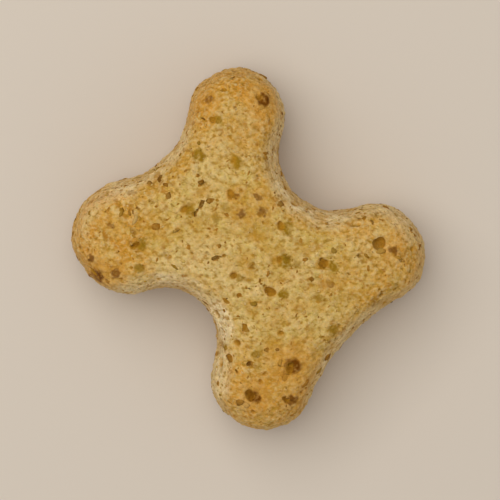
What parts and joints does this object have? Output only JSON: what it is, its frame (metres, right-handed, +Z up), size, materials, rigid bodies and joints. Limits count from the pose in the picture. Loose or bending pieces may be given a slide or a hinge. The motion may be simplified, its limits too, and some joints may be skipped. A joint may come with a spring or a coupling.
{
  "type": "dog biscuit",
  "caption": "Small baked dog biscuit in the shape of a short bone: plump round lobes, a narrow waist, a domed top with bubble holes and a flat underside to rest on.",
  "frame": {"origin": "under the middle of the biscuit, on the surface that it rests on", "axes": "+X along the bone's length, +Y across its width, +Z up out of the domed top"},
  "size_m": [0.026, 0.0228, 0.0105],
  "materials": {
    "baked_crust": "matte golden-tan baked crust with brown bran specks, browner at the lobes' tips"
  },
  "bodies": {
    "root": {"biscuit": "baked_crust"}
  },
  "joints": []
}
